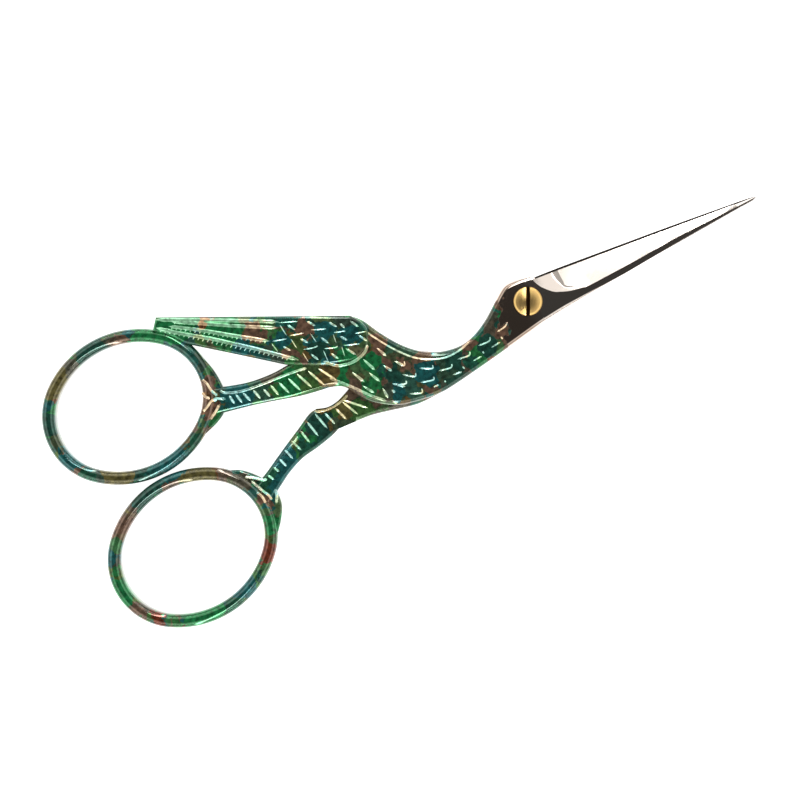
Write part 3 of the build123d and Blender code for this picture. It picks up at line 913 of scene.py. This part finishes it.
def ridge_line(bm, path, width, height, swell=1.0, steps=4):
    """A ridge along a path. `swell` is the width at the end for each unit of width at the start."""
    straight = [path[0].lerp(path[-1], i / STRAIGHT_STEPS) for i in range(STRAIGHT_STEPS + 1)]
    line = smooth_line(path, steps) if len(path) > 2 else straight
    lengths = [0.0]
    for first, last in zip(line, line[1:]):
        lengths.append(lengths[-1] + (last - first).length)
    grid = bmesh.ops.create_grid(bm, x_segments=len(line) - 1, y_segments=AROUND, size=0.5)["verts"]
    for vert in grid:
        index, turn = round((vert.co.x + 0.5) * (len(line) - 1)), (vert.co.y + 0.5) * 2 * math.pi
        share = lengths[index] / lengths[-1]
        half_width = width / 2 * (1 + (swell - 1) * share)
        to_end = min(lengths[index], lengths[-1] - lengths[index]) / (half_width * ROUND_END * 2)
        fullness = math.sqrt(1 - (1 - min(to_end, 1)) ** 2)
        before, after = line[max(index - 1, 0)], line[min(index + 1, len(line) - 1)]
        across = (after - before).cross(Vector((0, 0, 1))).normalized()
        rise = Vector((0, 0, height * math.sin(turn)))
        vert.co = line[index] + fullness * (across * half_width * math.cos(turn) + rise)


def relief(name, half, lines, z, width, height, swell=1.0):
    """One piece of many ridges at a level. A line is a list of pixels of the photograph."""
    bm = bmesh.new()
    for line in lines:
        ridge_line(bm, [spot(*pixel, z) for pixel in line], width, height, swell)
    # The ridges take the pale plating, which is a painted highlight.
    return finish_piece(bm, name, half, highlight_plating)


# %% Feathers of the neck
NECK_TICKS = [
    [(419.2, 368.4), (431.7, 368.8), (432.3, 364.8)], [(438.4, 371.1), (450.4, 367.9), (451.3, 363.9)],
    [(457.1, 359.5), (468.3, 355.9), (469.2, 351.4)], [(477.7, 346.1), (488.4, 341.6), (489.3, 337.1)],
    [(496.4, 332.2), (504.0, 327.3), (506.7, 322.4)],
    [(402.2, 374.6), (414.3, 376.9), (415.6, 372.9)], [(420.1, 382.7), (433.0, 380.0), (433.0, 376.4)],
    [(452.2, 375.1), (461.6, 372.0)], [(462.0, 366.6), (464.3, 369.3)], [(472.3, 361.3), (481.7, 356.3)],
    [(481.7, 351.4), (483.5, 354.1)], [(490.6, 347.9), (499.6, 342.5)], [(500.0, 337.1), (502.2, 339.8)],
    [(409.4, 393.8), (421.4, 393.0), (421.4, 388.5)], [(433.0, 387.1), (438.8, 384.9)],
    [(444.2, 380.4), (445.5, 382.7)], [(400.0, 384.5), (406.0, 383.6), (405.8, 380.5)],
    [(400.0, 364.0), (404.5, 365.7), (404.0, 361.3)]]
neck_feathers = relief("neck_feathers", "front", NECK_TICKS, HALF, width=0.22, height=0.10)

# %% Feathers of the body
BODY_TICKS = [
    [(377.0, 348.3), (386.5, 356.5)], [(394.3, 361.2), (404.5, 366.3)], [(383.0, 365.3), (392.2, 371.4)],
    [(363.2, 359.2), (375.4, 370.4)], [(369.3, 373.0), (380.0, 381.6)], [(352.4, 372.4), (364.7, 382.1)],
    [(362.7, 385.7), (374.4, 392.9)], [(391.7, 389.8), (395.3, 392.9)], [(382.6, 387.8), (388.2, 398.0)],
    [(392.2, 383.7), (405.5, 386.7)]]
body_feathers = relief("body_feathers", "front", BODY_TICKS, HALF, width=0.22, height=0.14, swell=2.0)

# %% Small feathers of the wing
WING_FACE = HALF + WING_RISE
COVERT_TIPS = [
    [(288.2, 325.5), (296.3, 330.6)], [(307.6, 321.9), (316.2, 326.5)], [(329.5, 323.0), (337.7, 327.6)],
    [(340.2, 324.0), (345.3, 328.6)], [(350.4, 321.4), (359.0, 327.6)], [(301.0, 339.3), (309.0, 343.4)],
    [(321.3, 337.8), (329.5, 343.9)], [(340.2, 336.7), (347.9, 340.8)], [(284.0, 347.0), (291.7, 351.0)],
    [(311.6, 354.6), (319.3, 360.2)], [(331.5, 353.6), (339.2, 359.2)], [(346.3, 349.0), (356.5, 355.1)],
    [(358.6, 335.7), (367.8, 341.8)]]
COVERT_EDGES = [
    [(290.2, 336.2), (305.0, 333.7)], [(311.6, 330.6), (327.4, 329.6)], [(334.0, 333.2), (346.3, 331.6)],
    [(355.0, 334.2), (366.7, 332.1)], [(304.0, 350.0), (315.0, 348.0), (318.8, 346.0)],
    [(324.9, 349.0), (335.0, 348.2), (338.7, 346.4)], [(343.8, 345.9), (360.6, 344.4)],
    [(273.7, 341.8), (288.0, 339.3)]]
COVERT_SHAFTS = [
    [(291.7, 339.3), (297.9, 349.0)], [(311.0, 333.7), (317.2, 342.9)], [(333.6, 334.7), (337.0, 343.9)],
    [(303.5, 353.0), (309.6, 362.8)], [(323.9, 350.5), (329.0, 362.2)], [(342.2, 347.0), (345.3, 357.0)],
    [(272.7, 343.9), (279.3, 352.6)], [(280.8, 325.5), (288.0, 336.7)], [(278.8, 323.5), (299.0, 322.0)]]
covert_tips = relief("covert_tips", "front", COVERT_TIPS, WING_FACE, width=0.28, height=0.12)
covert_edges = relief("covert_edges", "front", COVERT_EDGES, WING_FACE, width=0.17, height=0.10)
covert_shafts = relief("covert_shafts", "front", COVERT_SHAFTS, WING_FACE, width=0.14, height=0.09)

# %% Flight feathers
FLIGHT_LINES = [
    [(157.0, 320.5), (200.0, 321.0), (240.0, 321.5), (280.0, 322.5)],
    [(173.7, 322.5), (201.0, 324.0), (237.0, 326.5), (278.8, 328.5)],
    [(170.6, 327.0), (201.2, 330.6), (231.8, 335.7), (271.6, 341.8)],
    [(158.0, 328.5), (183.9, 334.2), (211.4, 339.0), (231.8, 343.5), (262.4, 350.5), (300.0, 360.5)]]
flight_lines = relief("flight_feathers", "front", FLIGHT_LINES, WING_FACE, width=0.48, height=0.14)

# %% Edge of the folded wing
WING_ARC = [[(324.0, 361.5), (337.0, 365.8), (346.3, 364.8), (355.5, 361.2), (364.7, 353.0), (367.8, 344.9)]]
wing_arc = relief("wing_front_edge", "front", WING_ARC, WING_FACE, width=0.40, height=0.14)

# %% Barbs of the flight feathers
BARB_PITCH, BARB_SLANT = 4.6, 0.7   # pixels from one to the next, and along for each pixel up
BARB_BANDS = [((176.0, 323.5), (277.0, 329.0), 3.2), ((173.0, 328.5), (270.0, 343.0), 3.4),   # ends, height
              ((162.0, 331.0), (292.0, 360.0), 3.6)]


def barb_lines():
    """Short slanting strokes, all along the bands between the flight feathers' lines."""
    for (left, top), (right, bottom), rise in BARB_BANDS:
        count = int((right - left) / BARB_PITCH)
        for i in range(count):
            column, row = left + (right - left) * i / count, top + (bottom - top) * i / count
            yield [(column, row + rise / 2), (column + rise * BARB_SLANT, row - rise / 2)]


barbs = relief("flight_barbs", "front", barb_lines(), WING_FACE, width=0.14, height=0.07)

# %% Relief on a leg
def leg_top(form, share):
    """Height of a leg's upper face, part of the way along it."""
    joggle = height_at([(s[0], s[3]) for s in form["sides"]], share)
    height, lift = leg_level(form, joggle)
    return lift + height / 2


def on_leg(form, pixel):
    """The place on a leg's upper face under a pixel."""
    start, run = leg_run(form)
    flat = spot(*pixel)
    share = (flat - start).dot(run) / run.length_squared
    return Vector((flat.x, flat.y, leg_top(form, min(max(share, 0), 1))))


def leg_relief(name, form, lines, width, height):
    bm = bmesh.new()
    for line in lines:
        ridge_line(bm, [on_leg(form, pixel) for pixel in line], width, height)
    # The ridges take the pale plating, which is a painted highlight.
    return finish_piece(bm, name, form["half"], highlight_plating)


# %% Ribs of the front leg
STRUT_RIBS = [
    [(230.0, 395.2), (235.6, 403.9)], [(236.6, 394.2), (243.3, 402.9)], [(243.8, 392.7), (251.9, 401.3)],
    [(254.0, 390.1), (261.6, 398.8)], [(264.2, 389.1), (271.3, 396.9)], [(271.3, 385.0), (279.5, 395.2)],
    [(279.5, 382.4), (290.2, 393.2)], [(288.7, 378.4), (301.4, 390.6)], [(297.3, 373.8), (312.7, 387.6)],
    [(308.6, 371.2), (324.9, 385.0)], [(318.5, 368.5), (338.0, 381.0)]]
STRUT_RAIL = [[(220.6, 390.3), (226.7, 392.9), (242.0, 391.3), (262.4, 384.7), (282.9, 376.5), (300.0, 370.4),
               (307.6, 368.2)]]
strut_ribs = leg_relief("strut_ribs", STRUT, STRUT_RIBS, width=0.34, height=0.16)
strut_rail = leg_relief("strut_rail", STRUT, STRUT_RAIL, width=0.34, height=0.14)

# %% Ribs of the back leg
SHANK_RIBS = [
    [(341.0, 399.5), (368.6, 408.1)], [(342.2, 401.8), (358.2, 414.4)], [(335.3, 408.1), (346.8, 419.6)],
    [(324.4, 412.7), (335.3, 424.2)], [(314.6, 413.3), (327.8, 428.8)], [(306.6, 421.3), (318.6, 436.3)],
    [(300.3, 430.5), (310.0, 442.6)], [(291.1, 440.3), (301.4, 450.0)], [(284.8, 449.5), (293.4, 458.6)],
    [(279.6, 458.6), (287.1, 466.1)], [(273.9, 466.7), (280.2, 471.8)], [(268.1, 474.7), (275.0, 479.3)]]
THIGH_EDGE = [[(313.5, 412.1), (325.0, 410.4), (333.0, 407.0), (337.6, 404.1), (343.3, 399.5),
               (347.9, 394.9)]]
shank_ribs = leg_relief("shank_ribs", SHANK, SHANK_RIBS, width=0.34, height=0.16)
thigh_edge = leg_relief("thigh_edge", SHANK, THIGH_EDGE, width=0.30, height=0.12)

# %% Leaves on the collars
LEAF_TOP = 1.25
LEAF = {"width": 0.42, "height": 0.30}
STRUT_LEAF = [
    [(203.0, 379.0), (208.5, 384.0), (213.0, 391.0), (219.0, 396.0)], [(213.7, 398.5), (227.0, 399.0)],
    [(204.0, 412.0), (209.0, 406.5), (213.0, 401.0), (219.0, 399.5)],
    [(203.5, 392.0), (207.0, 397.0), (212.0, 398.5)], [(211.0, 420.0), (216.0, 413.0), (221.0, 404.0)]]
SHANK_LEAF = [
    [(251.5, 479.6), (262.0, 488.8), (269.9, 494.9), (272.9, 499.5)],
    [(245.4, 476.5), (254.6, 477.3), (263.7, 479.6), (268.3, 478.0)],
    [(257.0, 491.0), (263.0, 496.0), (267.0, 503.0)], [(275.5, 488.0), (277.5, 495.0), (277.0, 503.0)]]
strut_leaf = relief("front_leaf", "front", STRUT_LEAF, LEAF_TOP, **LEAF)
shank_leaf = relief("back_leaf", "back", SHANK_LEAF, LEAF_TOP, **LEAF)

# %% Painted highlight along the back and the neck: a low pale ridge where the shoulder's rounding catches the light
BACK_LINE = [[(350.0, 318.0), (355.0, 323.0), (362.0, 329.0), (377.0, 339.5), (395.0, 350.0), (413.0, 357.5),
              (430.0, 359.5), (446.0, 357.5), (460.0, 350.0), (470.0, 341.0)]]
back_line = relief("back_line", "front", BACK_LINE, HALF, width=0.26, height=0.12)

# %% Bead line of the belly
# A raised bead along the belly's rim. Its pale plating is a painted highlight.
BELLY_LINE = [[(330.0, 378.5), (344.0, 383.5), (358.0, 389.5), (371.0, 395.5), (387.0, 401.0)]]
belly_line = relief("belly_line", "front", BELLY_LINE, HALF, width=0.34, height=0.12)
